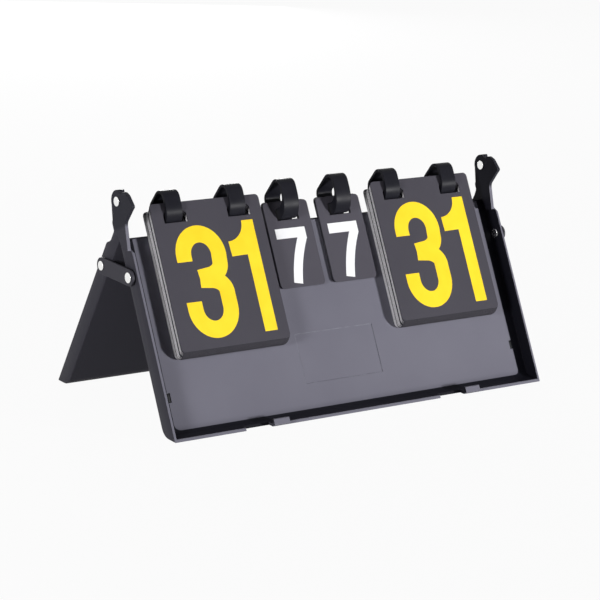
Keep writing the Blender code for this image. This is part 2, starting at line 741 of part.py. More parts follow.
def main():
    """Builds the whole board."""
    clear_scene()
    parts = new_collection("flip_scoreboard")
    cutters = new_collection("cutters")
    shell_plastic = make_material("black moulded plastic", (0.030, 0.029, 0.034), 0.42)
    ring_plastic = make_material("grey ring plastic", (0.055, 0.055, 0.062), 0.38)
    score_plastic = make_material("score leaf plastic", (0.022, 0.021, 0.026), 0.45)
    set_plastic = make_material("set leaf plastic", (0.024, 0.023, 0.028), 0.45)
    stay_plastic = make_material("stay plastic", (0.026, 0.026, 0.030), 0.50)
    metal = make_material("nickel plate", (0.72, 0.71, 0.69), 0.24, 1.0)
    front = make_tray("front_shell", -1, shell_plastic, parts, cutters)
    add_front_ears(front, cutters)
    notch_for_rings(front, cutters)
    recess_label(front, cutters)
    drill_hinge(front, cutters)
    rear = make_tray("rear_shell", 1, shell_plastic, parts, cutters)
    add_rear_ears(rear, cutters)
    drill_hinge(rear, cutters)
    set_pivot(rear, HINGE.copy())
    make_rings(ring_plastic, parts, cutters)
    make_leaves(score_plastic, set_plastic, parts)
    make_hinge_pins(metal, parts)
    make_stays(stay_plastic, metal, parts)


main()
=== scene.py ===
import json
import math
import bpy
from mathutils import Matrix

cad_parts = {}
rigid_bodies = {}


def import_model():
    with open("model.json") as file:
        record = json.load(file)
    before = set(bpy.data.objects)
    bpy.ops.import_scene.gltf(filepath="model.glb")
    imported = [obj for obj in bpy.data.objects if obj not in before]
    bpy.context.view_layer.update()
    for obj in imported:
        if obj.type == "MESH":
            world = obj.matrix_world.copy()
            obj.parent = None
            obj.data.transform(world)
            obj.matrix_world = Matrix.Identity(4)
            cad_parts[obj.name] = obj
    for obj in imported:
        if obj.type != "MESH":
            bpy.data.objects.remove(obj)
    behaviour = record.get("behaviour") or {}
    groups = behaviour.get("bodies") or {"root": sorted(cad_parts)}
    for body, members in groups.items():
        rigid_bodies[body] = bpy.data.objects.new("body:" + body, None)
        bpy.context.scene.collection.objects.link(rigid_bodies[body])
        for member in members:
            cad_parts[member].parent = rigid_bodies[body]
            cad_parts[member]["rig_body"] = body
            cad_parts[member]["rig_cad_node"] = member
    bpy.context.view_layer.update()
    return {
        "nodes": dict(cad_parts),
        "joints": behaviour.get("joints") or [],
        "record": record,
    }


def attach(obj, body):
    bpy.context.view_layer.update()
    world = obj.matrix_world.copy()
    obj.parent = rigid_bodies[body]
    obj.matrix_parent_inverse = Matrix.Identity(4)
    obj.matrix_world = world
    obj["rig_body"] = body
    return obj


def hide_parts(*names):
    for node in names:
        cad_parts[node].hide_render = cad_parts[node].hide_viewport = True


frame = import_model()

from types import SimpleNamespace

import bmesh
import bpy
import numpy as np
from mathutils import Matrix, Vector

record = frame["record"]
joints = {joint["name"]: joint for joint in frame["joints"]}
bodies = record["behaviour"]["bodies"]
bodyOf = {node: body for body, nodes in bodies.items() for node in nodes}

# The slanted frame of the front tray: u runs down the rim from the hinge axis, t runs back from it.
# Lengths are in metres, the angle in degrees.
trayPlan = {"halfAngle": 28.05, "halfWidth": 0.1925, "panelFace": 0.0134, "pocketDepth": 0.0013}
hinge = np.array(joints["fold"]["pos_m"])
leanAngle = math.radians(trayPlan["halfAngle"])
downRim = np.array([0, -math.sin(leanAngle), -math.cos(leanAngle)])
intoTray = np.array([0, math.cos(leanAngle), -math.sin(leanAngle)])


def nodePoints(name):
    # every corner of a CAD node, as an array of x, y, z
    mesh = frame["nodes"][name].data
    points = np.empty(len(mesh.vertices) * 3)
    mesh.vertices.foreach_get("co", points)
    return points.reshape(-1, 3)


def trayPlace(points):
    # world x, y, z to the tray's x, u, t: the arm from the hinge, measured along both directions
    arm = points - hinge
    return np.stack([points[:, 0], arm @ downRim, arm @ intoTray], axis=1)


def worldPlace(x, u, t):
    # the tray's x, u, t to world x, y, z: the hinge, plus x across, u down the rim and t into the tray
    x, u, t = np.broadcast_arrays(x, u, t)
    across = np.array([1.0, 0.0, 0.0])
    return hinge + x[..., None] * across + u[..., None] * downRim + t[..., None] * intoTray


# Short ways to add shader nodes

def addNode(tree, kind, links=None, **settings):
    # a node with its settings, and its inputs linked or given plain values
    node = tree.nodes.new(kind)
    for key, value in settings.items():
        setattr(node, key, value)
    for label, source in (links or {}).items():
        socket = node.inputs[label]
        if isinstance(source, bpy.types.NodeSocket):
            tree.links.new(source, socket)
        else:
            socket.default_value = source
    return node


def calc(tree, operation, first, second=0.0, third=0.0):
    inputs = {0: first, 1: second, 2: third}
    return addNode(tree, "ShaderNodeMath", inputs, operation=operation).outputs["Value"]


def spread(tree, source, low, high, fromLow=0.0, fromHigh=1.0):
    # fromLow to fromHigh becomes low to high, and stays there beyond them
    inputs = {"Value": source, "From Min": fromLow, "From Max": fromHigh, "To Min": low, "To Max": high}
    return addNode(tree, "ShaderNodeMapRange", inputs).outputs["Result"]


def mixColour(tree, factor, first, second):
    # first and second are colours or sockets
    node = tree.nodes.new("ShaderNodeMix")
    node.data_type = "RGBA"
    for socket, source in ((node.inputs[0], factor), (node.inputs[6], first), (node.inputs[7], second)):
        if isinstance(source, bpy.types.NodeSocket):
            tree.links.new(source, socket)
        elif isinstance(source, tuple):
            socket.default_value = (*source, 1.0)
        else:
            socket.default_value = source
    return node.outputs[2]


def objectPlace(tree):
    return addNode(tree, "ShaderNodeTexCoord").outputs["Object"]


# Shader groups that several finishes share

def newGroup(name, inputs, outputs):
    group = bpy.data.node_groups.new(name, "ShaderNodeTree")
    for label, value in inputs.items():
        socket = group.interface.new_socket(label, in_out="INPUT", socket_type="NodeSocketFloat")
        socket.default_value = value
    for label, kind in outputs.items():
        group.interface.new_socket(label, in_out="OUTPUT", socket_type=kind)
    return group, group.nodes.new("NodeGroupInput"), group.nodes.new("NodeGroupOutput")


def mouldedGrainGroup():
    # fine spark-eroded grain and a slow uneven sheen
    group, entry, leave = newGroup(
        "mouldedGrain", {"Grain Size": 2600.0, "Patch Size": 22.0},
        {"Grain": "NodeSocketFloat", "Patch": "NodeSocketFloat"},
    )
    place = objectPlace(group)
    fine = addNode(
        group, "ShaderNodeTexNoise",
        {"Vector": place, "Scale": entry.outputs["Grain Size"], "Detail": 2.0, "Roughness": 0.6},
    )
    slow = addNode(
        group, "ShaderNodeTexNoise",
        {"Vector": place, "Scale": entry.outputs["Patch Size"], "Detail": 3.0, "Roughness": 0.5},
    )
    group.links.new(fine.outputs["Fac"], leave.inputs["Grain"])
    group.links.new(slow.outputs["Fac"], leave.inputs["Patch"])
    return group


def rubbedEdgeGroup():
    # a mask that is 1 where the surface turns sharply, broken up by noise: where the rounded normal
    # and the plain one part, their dot product falls below 1
    group, entry, leave = newGroup(
        "rubbedEdge", {"Reach": 0.0007, "Breakup": 140.0},
        {"Mask": "NodeSocketFloat", "Rounded": "NodeSocketVector"},
    )
    reach = {"Radius": entry.outputs["Reach"]}
    rounded = addNode(group, "ShaderNodeBevel", reach, samples=4).outputs["Normal"]
    plain = addNode(group, "ShaderNodeNewGeometry").outputs["Normal"]
    align = addNode(group, "ShaderNodeVectorMath", {0: rounded, 1: plain}, operation="DOT_PRODUCT")
    noise = addNode(
        group, "ShaderNodeTexNoise",
        {"Vector": objectPlace(group), "Scale": entry.outputs["Breakup"], "Detail": 3.0},
    )
    turned = spread(group, align.outputs["Value"], 0.0, 1.0, 0.995, 0.80)
    broken = spread(group, noise.outputs["Fac"], 0.0, 1.0, 0.35, 0.65)
    group.links.new(calc(group, "MULTIPLY", turned, broken), leave.inputs["Mask"])
    group.links.new(rounded, leave.inputs["Rounded"])
    return group


mouldedGrain = mouldedGrainGroup()
rubbedEdge = rubbedEdgeGroup()


# Finishes

# how far the roughness strays, the part of the patch noise that it follows, and the grain's depths
sheenPlan = {
    "spread": 0.05, "patches": (0.3, 0.7),
    "plasticDepth": 0.00006, "inkDepth": 0.00004, "plateDepth": 0.00003,
}


def newMaterial(name):
    material = bpy.data.materials.new(name)
    material.use_nodes = True
    return material, material.node_tree, material.node_tree.nodes["Principled BSDF"]


def addGrain(tree, look):
    sizes = {"Grain Size": look["grainSize"], "Patch Size": look["patchSize"]}
    return addNode(tree, "ShaderNodeGroup", sizes, node_tree=mouldedGrain)


def addGrainBump(tree, shader, grain, strength, depth, rounded=None):
    # the fine grain as bump, over the rounded edges where they are given
    inputs = {"Height": grain.outputs["Grain"], "Strength": strength, "Distance": depth}
    if rounded is not None:
        inputs["Normal"] = rounded
    lift = addNode(tree, "ShaderNodeBump", inputs)
    tree.links.new(lift.outputs["Normal"], shader.inputs["Normal"])


def plasticMaterial(name, look):
    # moulded or sheet plastic: patchy tone, fine grain bump and paler rubbed edges
    material, tree, shader = newMaterial(name)
    shader.inputs["Specular IOR Level"].default_value = look["gloss"]
    grain = addGrain(tree, look)
    edge = addNode(tree, "ShaderNodeGroup", node_tree=rubbedEdge)
    patchy = mixColour(tree, grain.outputs["Patch"], look["dark"], look["light"])
    tone = mixColour(tree, spread(tree, edge.outputs["Mask"], 0.0, 0.6), patchy, look["rubbed"])
    tree.links.new(tone, shader.inputs["Base Color"])
    low, high = look["roughness"] - sheenPlan["spread"], look["roughness"] + sheenPlan["spread"]
    sheen = spread(tree, grain.outputs["Patch"], low, high, *sheenPlan["patches"])
    tree.links.new(sheen, shader.inputs["Roughness"])
    addGrainBump(tree, shader, grain, look["bump"], sheenPlan["plasticDepth"], edge.outputs["Rounded"])
    return SimpleNamespace(material=material, tree=tree, shader=shader, tone=tone)


def leafMaterial(name, look, face, edgeColour):
    # dark sheet whose cut side edges take another colour: the mix grows with the normal's share of x
    tones = {key: tuple(share * part for part in face) for key, share in look["shares"].items()}
    sheet = plasticMaterial(name, {**look, **tones})
    turn = addNode(sheet.tree, "ShaderNodeTexCoord").outputs["Normal"]
    parts = addNode(sheet.tree, "ShaderNodeSeparateXYZ", {"Vector": turn})
    sideways = calc(sheet.tree, "ABSOLUTE", parts.outputs["X"])
    cut = spread(sheet.tree, sideways, 0.0, 1.0, *look["edgeTurn"])
    both = mixColour(sheet.tree, cut, sheet.tone, edgeColour)
    sheet.tree.links.new(both, sheet.shader.inputs["Base Color"])
    return sheet.material


def inkMaterial(name, look, colour, deeper):
    # screen-printed ink: slight mottling, a soft gloss and pinholes in the bump
    material, tree, shader = newMaterial(name)
    shader.inputs["Specular IOR Level"].default_value = look["gloss"]
    grain = addGrain(tree, look)
    tone = mixColour(tree, spread(tree, grain.outputs["Patch"], 0.0, 1.0, *look["mottle"]), colour, deeper)
    tree.links.new(tone, shader.inputs["Base Color"])
    tree.links.new(spread(tree, grain.outputs["Patch"], *look["roughness"]), shader.inputs["Roughness"])
    addGrainBump(tree, shader, grain, look["bump"], sheenPlan["inkDepth"])
    return material


def platedMaterial(name, look):
    # nickel plate with fine turning marks and dulled patches
    material, tree, shader = newMaterial(name)
    grain = addGrain(tree, look)
    tone = mixColour(tree, grain.outputs["Patch"], look["bright"], look["dull"])
    tree.links.new(tone, shader.inputs["Base Color"])
    shader.inputs["Metallic"].default_value = 1.0
    sheen = spread(tree, grain.outputs["Patch"], *look["roughness"], *sheenPlan["patches"])
    tree.links.new(sheen, shader.inputs["Roughness"])
    addGrainBump(tree, shader, grain, look["bump"], sheenPlan["plateDepth"])
    return material


def addBorder(shell, look):
    # Painted shade: near-black colour stands in for the walls' shadow on the tray's floor round the panel
    # and for shade on the end walls' inner faces; faces turned out sideways or back are darkened as painted
    # shade, and the ears are darker.
    # Both trays are handled as one by taking y without its sign. u = |y| sin + (H - z) cos runs down
    # the rim and t = (H - z) sin - |y| cos runs into the tray. The panel's outline is a box with
    # rounded corners: the distance of the point beyond the corner centres, less the corner radius.
    tree = shell.tree
    space = addNode(tree, "ShaderNodeTexCoord")
    place = addNode(tree, "ShaderNodeSeparateXYZ", {"Vector": space.outputs["Object"]})
    facing = addNode(tree, "ShaderNodeSeparateXYZ", {"Vector": space.outputs["Normal"]})
    sine, cosine = math.sin(leanAngle), math.cos(leanAngle)
    away = calc(tree, "ABSOLUTE", place.outputs["Y"])
    across = calc(tree, "ABSOLUTE", place.outputs["X"])
    drop = calc(tree, "SUBTRACT", float(hinge[2]), place.outputs["Z"])
    u = calc(tree, "MULTIPLY_ADD", away, sine, calc(tree, "MULTIPLY", drop, cosine))
    t = calc(tree, "SUBTRACT", calc(tree, "MULTIPLY", drop, sine), calc(tree, "MULTIPLY", away, cosine))

    # how far the surface faces out of the tray, up to the hinge, and in from the end wall
    outward = calc(tree, "MULTIPLY", facing.outputs["Y"], calc(tree, "SIGN", place.outputs["Y"]))
    upward = facing.outputs["Z"]
    toFront = calc(tree, "MULTIPLY_ADD", outward, cosine, calc(tree, "MULTIPLY", upward, sine))
    toHinge = calc(tree, "MULTIPLY_ADD", outward, -sine, calc(tree, "MULTIPLY", upward, cosine))
    sideways = calc(tree, "MULTIPLY", facing.outputs["X"], calc(tree, "SIGN", place.outputs["X"]))
    inward = calc(tree, "MULTIPLY", sideways, -1.0)

    # painted shadow on the tray's floor outside the panel's outline, where the walls' shadow falls, and
    # painted shade on the end walls' inner faces
    corner, blur = look["corner"], look["blur"]
    beyondX = calc(tree, "MAXIMUM", calc(tree, "SUBTRACT", across, look["panelHalf"] - corner), 0.0)
    beyondU = calc(tree, "MAXIMUM", calc(tree, "SUBTRACT", u, look["panelEnd"] - corner), 0.0)
    squares = calc(tree, "MULTIPLY_ADD", beyondX, beyondX, calc(tree, "MULTIPLY", beyondU, beyondU))
    beyond = calc(tree, "SQRT", squares)
    outside = spread(tree, beyond, 0.0, 1.0, corner - blur, corner + blur)
    deep = calc(tree, "GREATER_THAN", t, look["rimDepth"])
    between = calc(tree, "LESS_THAN", across, look["insideWall"])
    seen = calc(tree, "GREATER_THAN", calc(tree, "MAXIMUM", toFront, toHinge), look["floorTurn"])
    inside = calc(tree, "MULTIPLY", seen, between)
    floorShadowMask = calc(tree, "MULTIPLY", calc(tree, "MULTIPLY", outside, deep), inside)
    wallShadeMask = calc(tree, "MULTIPLY", calc(tree, "GREATER_THAN", inward, look["wallTurn"]), between)
    # mask is where the painted shadow and shade go
    mask = calc(tree, "MAXIMUM", floorShadowMask, wallShadeMask)

    # the ears near the hinge are darkened, and every face that looks out sideways or back gets painted
    # shade
    ear = spread(tree, u, 1.0, 0.0, look["earEnd"] - look["earBlur"], look["earEnd"] + look["earBlur"])
    turnedOut = calc(tree, "LESS_THAN", calc(tree, "MINIMUM", inward, toFront), look["outTurn"])
    outerShade = calc(tree, "MULTIPLY", turnedOut, look["outShadeShare"])
    withOuterShade = mixColour(tree, outerShade, shell.tone, look["outShadeColour"])
    withEar = mixColour(tree, ear, withOuterShade, look["earColour"])
    tree.links.new(mixColour(tree, mask, withEar, look["colour"]), shell.shader.inputs["Base Color"])


shellLook = {
    "dark": (0.134, 0.131, 0.164), "light": (0.168, 0.165, 0.202), "rubbed": (0.36, 0.36, 0.41),
    "roughness": 0.46, "bump": 0.35, "grainSize": 2600.0, "patchSize": 14.0, "gloss": 0.05,
}
ringLook = {
    "dark": (0.010, 0.010, 0.014), "light": (0.016, 0.016, 0.021), "rubbed": (0.05, 0.05, 0.06),
    "roughness": 0.36, "bump": 0.18, "grainSize": 2200.0, "patchSize": 60.0, "gloss": 0.04,
}
stayLook = {
    "dark": (0.034, 0.033, 0.043), "light": (0.048, 0.046, 0.058), "rubbed": (0.13, 0.13, 0.15),
    "roughness": 0.42, "bump": 0.25, "grainSize": 2400.0, "patchSize": 50.0, "gloss": 0.10,
}
padLook = {
    "dark": (0.008, 0.008, 0.010), "light": (0.014, 0.014, 0.017), "rubbed": (0.05, 0.05, 0.06),
    "roughness": 0.60, "bump": 0.30, "grainSize": 3000.0, "patchSize": 200.0, "gloss": 0.20,
}
plateLook = {
    "bright": (0.95, 0.95, 0.94), "dull": (0.84, 0.84, 0.83),
    "roughness": (0.14, 0.34), "bump": 0.2, "grainSize": 1800.0, "patchSize": 260.0,
}
# The edges' colours show at the stack's side, in bands of pale and dark leaves
leafLook = {
    # behind darkens the faces of the leaves behind the front one: painted shade
    "scoreFace": (0.060, 0.057, 0.070), "setFace": (0.074, 0.070, 0.086), "behind": 0.62,
    "shares": {"dark": 0.90, "light": 1.12, "rubbed": 1.5},
    "roughness": 0.46, "bump": 0.25, "grainSize": 3200.0, "patchSize": 16.0, "gloss": 0.06,
    "paleEdge": (0.94, 0.92, 0.95), "darkEdge": (0.03, 0.03, 0.04), "setEdge": (0.020, 0.020, 0.026),
    "edgeTurn": (0.55, 0.80), "paleLeaves": (*range(2, 5), *range(7, 12), *range(13, 17)),
}
inkLook = {
    "yellow": (1.0, 0.71, 0.032), "deepYellow": (0.98, 0.66, 0.024),
    "white": (0.93, 0.93, 0.94), "dullWhite": (0.86, 0.86, 0.88),
    "roughness": (0.36, 0.46), "mottle": (0.35, 0.65), "bump": 0.15,
    "grainSize": 1500.0, "patchSize": 45.0, "gloss": 0.10,
}
# Painted shadow on the tray's floor round the flat panel, painted shade on the end walls' inner faces and
# on the faces turned out sideways or back, and dark ears, lengths in metres.
# A turn is the part of the normal that a face must have in its direction, from 1 down to -1.
shadeAndEarLook = {
    "panelHalf": 0.1816, "panelEnd": 0.1918, "corner": 0.0055, "blur": 0.0001,
    # colour is the near-black of the painted shadow and shade
    "insideWall": 0.1908, "rimDepth": 0.0007, "colour": (0.008, 0.008, 0.012),
    "earEnd": 0.0215, "earBlur": 0.0015, "earColour": (0.026, 0.026, 0.034),
    "outShadeShare": 0.9, "outShadeColour": (0.034, 0.033, 0.042),
    "floorTurn": 0.3, "wallTurn": 0.5, "outTurn": -0.7,
}

shellPlastic = plasticMaterial("shellPlastic", shellLook)
addBorder(shellPlastic, shadeAndEarLook)
ringPlastic = plasticMaterial("ringPlastic", ringLook).material
stayPlastic = plasticMaterial("stayPlastic", stayLook).material
padRubber = plasticMaterial("padRubber", padLook).material
nickelPlate = platedMaterial("nickelPlate", plateLook)
# painted shade: the leaves behind the front one get a darker face
behindFace = tuple(leafLook["behind"] * part for part in leafLook["scoreFace"])
frontSheet = leafMaterial("frontSheet", leafLook, leafLook["scoreFace"], leafLook["darkEdge"])
shadedPaleEdgedSheet = leafMaterial("shadedPaleEdgedSheet", leafLook, behindFace, leafLook["paleEdge"])
shadedDarkEdgedSheet = leafMaterial("shadedDarkEdgedSheet", leafLook, behindFace, leafLook["darkEdge"])
setSheet = leafMaterial("setSheet", leafLook, leafLook["setFace"], leafLook["setEdge"])
yellowInk = inkMaterial("yellowInk", inkLook, inkLook["yellow"], inkLook["deepYellow"])
whiteInk = inkMaterial("whiteInk", inkLook, inkLook["white"], inkLook["dullWhite"])
print("materials ready")


# Moulded and turned pieces, taken from their solids

# Radii and the joining distance in metres, angles in degrees, wideFace in square metres
softEdges = {
    "ring": 0.00040, "stay": 0.00035, "stud": 0.00025, "join": 2e-6,
    "sharpAngle": 32.0, "flatAngle": 0.6, "wideFace": 0.0012,
}


def copyOfNode(node, material):
    # the solid's mesh with its loose triangles joined, as a piece of its own without the node's marks
    piece = frame["nodes"][node].copy()
    piece.data = frame["nodes"][node].data.copy()
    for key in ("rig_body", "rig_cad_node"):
        if key in piece:
            del piece[key]
    piece.parent = None
    piece.name = node + "_moulded"
    bpy.context.scene.collection.objects.link(piece)
    shape = bmesh.new()
    shape.from_mesh(piece.data)
    bmesh.ops.remove_doubles(shape, verts=shape.verts, dist=softEdges["join"])
    shape.to_mesh(piece.data)
    shape.free()
    # the corner directions stored with the solid no longer fit the joined mesh
    stored = piece.data.attributes.get("custom_normal")
    if stored:
        piece.data.attributes.remove(stored)
    piece.data.materials.clear()
    piece.data.materials.append(material)
    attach(piece, bodyOf[node])
    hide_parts(node)
    return piece


def shadedCopy(node, material):
    # small facets of a rounded edge shade smoothly and wide flat faces stay flat. A wide face is
    # all the triangles that share one plane, found by their normal and their distance from the origin.
    mesh = copyOfNode(node, material).data
    count = len(mesh.polygons)
    normals, middles, areas = np.empty(count * 3), np.empty(count * 3), np.empty(count)
    mesh.polygons.foreach_get("normal", normals)
    mesh.polygons.foreach_get("center", middles)
    mesh.polygons.foreach_get("area", areas)
    normals, middles = normals.reshape(-1, 3), middles.reshape(-1, 3)
    away = (normals * middles).sum(axis=1)[:, None]
    key = np.concatenate([np.round(normals, 2), np.round(away, 4)], axis=1)
    plane = np.unique(key, axis=0, return_inverse=True)[1].ravel()
    planeArea = np.bincount(plane, weights=areas)[plane]
    mesh.polygons.foreach_set("use_smooth", planeArea < softEdges["wideFace"])
    mesh.set_sharp_from_angle(angle=math.radians(softEdges["sharpAngle"]))


def softenedCopy(node, edgeRadius, material):
    # flat faces are made whole again, then every sharp edge gets a small radius
    piece = copyOfNode(node, material)
    shape = bmesh.new()
    shape.from_mesh(piece.data)
    flat = math.radians(softEdges["flatAngle"])
    bmesh.ops.dissolve_limit(shape, angle_limit=flat, verts=shape.verts, edges=shape.edges)
    shape.to_mesh(piece.data)
    shape.free()
    piece.data.polygons.foreach_set("use_smooth", np.ones(len(piece.data.polygons), bool))
    bevel = piece.modifiers.new("roundedEdges", "BEVEL")
    bevel.width = edgeRadius
    bevel.segments = 2
    bevel.limit_method = "ANGLE"
    bevel.angle_limit = math.radians(softEdges["sharpAngle"])
    bevel.harden_normals = True
    bevel.miter_outer = "MITER_ARC"


for side in ("front", "rear"):
    shadedCopy(side + "_shell", shellPlastic.material)
print("trays done")

for node in bodies["front"]:
    if "_ring_" in node:
        softenedCopy(node, softEdges["ring"], ringPlastic)
for end in ("left", "right"):
    softenedCopy("stay_" + end, softEdges["stay"], stayPlastic)
    for kind in ("hinge_pin", "stay_rivet", "stay_button", "stay_stud"):
        softenedCopy(f"{kind}_{end}", softEdges["stud"], nickelPlate)
print("rings, stays and studs done")


def sheetFor(node):
    # leaves are numbered from the front of their stack
    if node.startswith("set"):
        return setSheet
    place = int(node[-2:])
    # score leaves after the first take a face darkened as painted shade
    if place in leafLook["paleLeaves"]:
        return shadedPaleEdgedSheet
    return frontSheet if place == 1 else shadedDarkEdgedSheet


for node, thing in frame["nodes"].items():
    if "_leaf_" in node:
        thing.data.materials.clear()
        thing.data.materials.append(sheetFor(node))
print("leaves done")


# Numerals, drawn as bands of ink carried along strokes. Lengths are in metres. narrowOne is the
# share of the width that a 1 takes, and shift moves a whole number sideways.

scoreType = {
    "height": 0.0962, "width": 0.0486, "band": 0.0146, "top": 0.0215, "gap": 0.0048,
    "shift": 0.0019, "narrowOne": 0.585,
}
setType = {
    "height": 0.0486, "width": 0.0308, "band": 0.0089, "top": 0.0239, "gap": 0.0,
    "shift": -0.0008, "narrowOne": 0.585,
}
inkDepth = {"lift": 0.00001, "thick": 0.00005, "layer": 0.000006}


def bend(centre, radii, start, stop, count=14):
    # points on an ellipse about centre, angles in degrees from +x towards +y
    turn = np.radians(np.linspace(start, stop, count))
    return np.stack([centre[0] + radii[0] * np.cos(turn), centre[1] + radii[1] * np.sin(turn)], axis=1)


def run(*points):
    return np.array(points, float)


def letterBox(w, h, b):
    # A numeral's box is w wide and h high, x to the right and y upwards, and its band b wide.
    # left, right, low and high are the outermost centre lines, half and bowl a round part's radii.
    left, right = b / 2, w - b / 2
    half = (right - left) / 2
    return SimpleNamespace(
        w=w, h=h, b=b, left=left, right=right, low=b / 2, high=h - b / 2,
        half=half, middle=(left + right) / 2, bowl=half * 1.06, waist=h * 0.530,
    )


# Each numeral is a list of centre lines, in shares of its box. An outline that is filled instead
# of stroked is in a list of its own.

def zeroStrokes(n):
    top = bend((n.middle, n.high - n.bowl), (n.half, n.bowl), 0, 180, 20)
    bottom = bend((n.middle, n.low + n.bowl), (n.half, n.bowl), 180, 360, 20)
    return [np.concatenate([top, bottom, top[:1]])]


def oneStrokes(n):
    # one outline: the curved upper side of the flag, then round the stem and back under the flag
    brow = bend((0, n.h), (n.w * 0.60, n.h * 0.174), -90, 0)
    foot = n.w * 0.565
    stem = run((n.w, n.h), (n.w, 0), (foot, 0), (foot, n.h * 0.694), (n.w * 0.02, n.h * 0.691))
    return [[np.concatenate([brow, stem])]]


def twoStrokes(n):
    top = bend((n.middle, n.high - n.bowl), (n.half, n.bowl), 175, -20, 20)
    foot = run((n.left + n.b * 0.10, n.low + n.b * 0.55), (n.left + n.b * 0.05, n.low))
    return [np.concatenate([top, foot]), run((0, n.low), (n.w, n.low))]


def threeStrokes(n):
    # two bowls that turn in to the waist, each with a short straight end
    upper = bend((n.middle, n.high - n.bowl), (n.half, n.bowl), 180, 0, 22)
    lower = bend((n.middle, n.low + n.bowl), (n.half, n.bowl), 0, -180, 22)
    inner = n.middle + n.half * 0.10
    turnIn = bend((inner, n.waist + n.h * 0.125), (n.half * 0.86, n.h * 0.110), -5, -85, 12)
    turnOut = bend((inner, n.waist - n.h * 0.135), (n.half * 0.90, n.h * 0.120), 85, 5, 12)
    upperEnd, lowerEnd = run((n.left, n.h * 0.690)), run((n.left, n.h * 0.335))
    above = run((n.w * 0.37, n.waist + n.h * 0.004))
    below = run((n.w * 0.37, n.waist - n.h * 0.004))
    return [
        np.concatenate([upperEnd, upper, turnIn, above]),
        np.concatenate([below, turnOut, lower, lowerEnd]),
    ]


def fourStrokes(n):
    stem = n.right - n.b * 0.45
    slope = run((stem, n.high), (n.left * 0.9, n.h * 0.285))
    return [run((stem, 0), (stem, n.h)), slope, run((0, n.h * 0.255), (n.w, n.h * 0.255))]


def fiveStrokes(n):
    top = run((n.w * 0.94, n.high), (n.left, n.high), (n.left, n.h * 0.52))
    bowl = bend((n.middle, n.low + n.bowl * 1.15), (n.half, n.bowl * 1.15), 140, -170, 26)
    return [top, bowl]


def sixStrokes(n):
    loop = bend((n.middle, n.low + n.bowl), (n.half, n.bowl), 0, 360, 30)
    top = bend((n.middle, n.high - n.bowl), (n.half, n.bowl), 180, 12, 18)
    return [loop, np.concatenate([run((n.left, n.low + n.bowl)), top])]


def sevenStrokes(n):
    # a bar, a leg that is a piece of a large ellipse, and a filled corner where they meet
    bar = run((0, n.h - n.b / 2), (n.w, n.h - n.b / 2))
    leg = bend((n.w * 2.718, n.h * -0.5565), (n.w * 2.42, n.h * 2.15), 139.5, 165, 16)
    under = ((n.w, n.h * 0.792), (n.w * 0.8, n.h * 0.80), (n.w * 0.6, n.h * 0.84))
    corner = run((n.w * 0.6, n.h), (n.w, n.h), *under)
    return [bar, leg, [corner]]


def eightStrokes(n):
    # two loops, moved together until they touch
    upper = bend((n.middle, n.high - n.bowl * 0.95), (n.half * 0.94, n.bowl * 0.95), -90, 270, 30)
    lower = bend((n.middle, n.low + n.bowl), (n.half, n.bowl), 90, 450, 30)
    rise = n.high - n.bowl * 1.9 - n.low - 2 * n.bowl
    lower[:, 1] += rise * 0.5
    upper[:, 1] -= rise * 0.5
    return [upper, lower]


def nineStrokes(n):
    # a 6 turned upside down
    return [np.array([n.w, n.h]) - shape for shape in sixStrokes(n)]


strokesOf = (
    zeroStrokes, oneStrokes, twoStrokes, threeStrokes, fourStrokes,
    fiveStrokes, sixStrokes, sevenStrokes, eightStrokes, nineStrokes,
)


def inkBand(path, width, base, top):
    # a flat band along the path: each point of the path gives its left and right edge, square
    # across the path, at the base height and at the top height
    path = path[np.concatenate([[True], np.linalg.norm(np.diff(path, axis=0), axis=1) > 1e-7])]
    step = np.gradient(path, axis=0)
    step /= np.linalg.norm(step, axis=1)[:, None]
    across = np.stack([-step[:, 1], step[:, 0]], axis=1) * width / 2
    left, right = path + across, path - across
    rings = np.stack([left, right, right, left], axis=1)
    heights = np.broadcast_to(np.array([base, base, top, top]), rings.shape[:2])
    points = np.concatenate([rings, heights[..., None]], axis=2).reshape(-1, 3)
    count = len(path)
    start = np.arange(count - 1)[:, None] * 4
    side = np.arange(4)[None, :]
    after = (side + 1) % 4
    quads = np.stack([start + side, start + after, start + after + 4, start + side + 4], axis=2)
    caps = np.array([[3, 2, 1, 0], np.arange(4) + (count - 1) * 4])
    return points, np.concatenate([quads.reshape(-1, 4), caps]).tolist()


def inkFill(outline, base, top):
    # a flat patch: the outline at the base height and again at the top height
    count = len(outline)
    heights = np.repeat([base, top], count)[:, None]
    points = np.concatenate([np.tile(outline, (2, 1)), heights], axis=1)
    here = np.arange(count)
    after = (here + 1) % count
    sides = np.stack([here, after, after + count, here + count], axis=1).tolist()
    return points, [*sides, here[::-1].tolist(), (here + count).tolist()]


def numberBands(number, style, room):
    # every band of a number, centred on x = 0, with its top at y = 0, squeezed to the leaf's room
    digits = [int(letter) for letter in str(number)]
    widths = [style["width"] * (style["narrowOne"] if digit == 1 else 1.0) for digit in digits]
    total = sum(widths) + style["gap"] * (len(digits) - 1)
    squeeze = min(1.0, room / total)
    pieces = []
    start = -total / 2
    for digit, width in zip(digits, widths):
        box = letterBox(width, style["height"], style["band"])
        corner = np.array([start, -style["height"]])
        for layer, path in enumerate(strokesOf[digit](box)):
            filled = isinstance(path, list)
            placed = ((path[0] if filled else path) + corner) * np.array([squeeze, 1.0])
            pieces.append((placed, layer, filled))
        start += width + style["gap"]
    return pieces


